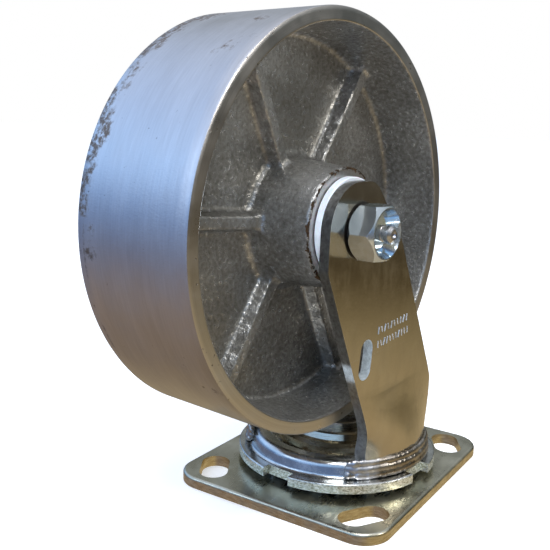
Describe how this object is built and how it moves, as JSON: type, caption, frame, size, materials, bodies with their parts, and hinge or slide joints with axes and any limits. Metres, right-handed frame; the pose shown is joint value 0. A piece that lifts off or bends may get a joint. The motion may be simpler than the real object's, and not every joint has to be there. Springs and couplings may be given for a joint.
{
  "type": "swivel plate caster",
  "caption": "Swivel plate caster: slotted mounting plate, ball-race swivel with a two-legged yoke, and a ribbed cast wheel on a greased roller axle.",
  "frame": {"origin": "where the swivel axis meets the mounting face (underside) of the plate", "axes": "+Z along the swivel axis from the mounting face towards the wheel (in use the part is turned over, wheel down); +X along the plate's long side; at rest the wheel trails towards -X, turned 5.9 degrees about Z; +Y across the plate"},
  "size_m": [0.1762, 0.1031, 0.1905],
  "materials": {
    "plate_zinc": "bright zinc plate on pressed steel, slightly yellow, sheared edges",
    "kingpin_zinc": "zinc-plated bolt steel",
    "race_steel": "hardened pressed steel, zinc plated, light oil",
    "ball_steel": "ground bearing balls under grease",
    "crown_zinc": "bright zinc plate on stamped steel",
    "leg_zinc": "bright zinc plate on flat steel, soft reflections",
    "weld_zinc": "rippled weld bead under zinc plate",
    "bolt_zinc": "bright plated hex with turned-off corners",
    "locking_nylon": "natural nylon",
    "fitting_steel": "bright plated grease nipple",
    "bushing_steel": "ground steel sleeve",
    "washer_nylon": "white nylon",
    "cast_wheel": "sand-cast iron under silver paint, tread and rim faces machined bright",
    "shell_steel": "rolled steel shell",
    "roller_steel": "ground rollers",
    "cage_steel": "pressed steel cage"
  },
  "bodies": {
    "plate": {"mounting_plate": "plate_zinc", "kingpin": "kingpin_zinc", "lower_race_cap": "race_steel", "kingpin_washer": "kingpin_zinc", "kingpin_nut": "kingpin_zinc"},
    "load_balls": {"main_race_balls": "ball_steel"},
    "lower_balls": {"lower_race_balls": "ball_steel"},
    "yoke": {"yoke_crown": "crown_zinc", "right_leg": "leg_zinc", "left_leg": "leg_zinc", "right_leg_weld": "weld_zinc", "left_leg_weld": "weld_zinc", "axle_bolt": "bolt_zinc", "axle_nut": "bolt_zinc", "nut_locking_ring": "locking_nylon", "grease_fitting": "fitting_steel", "spanner_bushing": "bushing_steel", "right_thrust_washer": "washer_nylon", "left_thrust_washer": "washer_nylon"},
    "wheel": {"wheel": "cast_wheel", "bearing_shell": "shell_steel"},
    "roller_cage": {"bearing_rollers": "roller_steel", "roller_cage": "cage_steel"}
  },
  "joints": [
    {"name": "swivel", "type": "hinge", "parent": "plate", "child": "yoke", "pos_m": [0, 0, 0.0132], "axis": [0, 0, 1], "continuous": true},
    {"name": "wheel_spin", "type": "hinge", "parent": "yoke", "child": "wheel", "pos_m": [-0.04188, 0.00433, 0.1143], "axis": [0.1028, 0.9947, 0], "continuous": true},
    {"name": "roller_cage_turn", "type": "hinge", "parent": "yoke", "child": "roller_cage", "pos_m": [-0.04188, 0.00433, 0.1143], "axis": [0.1028, 0.9947, 0], "continuous": true},
    {"name": "load_ball_orbit", "type": "hinge", "parent": "plate", "child": "load_balls", "pos_m": [0, 0, 0.009], "axis": [0, 0, 1], "continuous": true},
    {"name": "lower_ball_orbit", "type": "hinge", "parent": "plate", "child": "lower_balls", "pos_m": [0, 0, 0.01592], "axis": [0, 0, 1], "continuous": true}
  ],
  "couplings": [
    {"joint": "roller_cage_turn", "follows": "wheel_spin", "ratio": 0.6},
    {"joint": "load_ball_orbit", "follows": "swivel", "ratio": 0.5},
    {"joint": "lower_ball_orbit", "follows": "swivel", "ratio": 0.5}
  ]
}
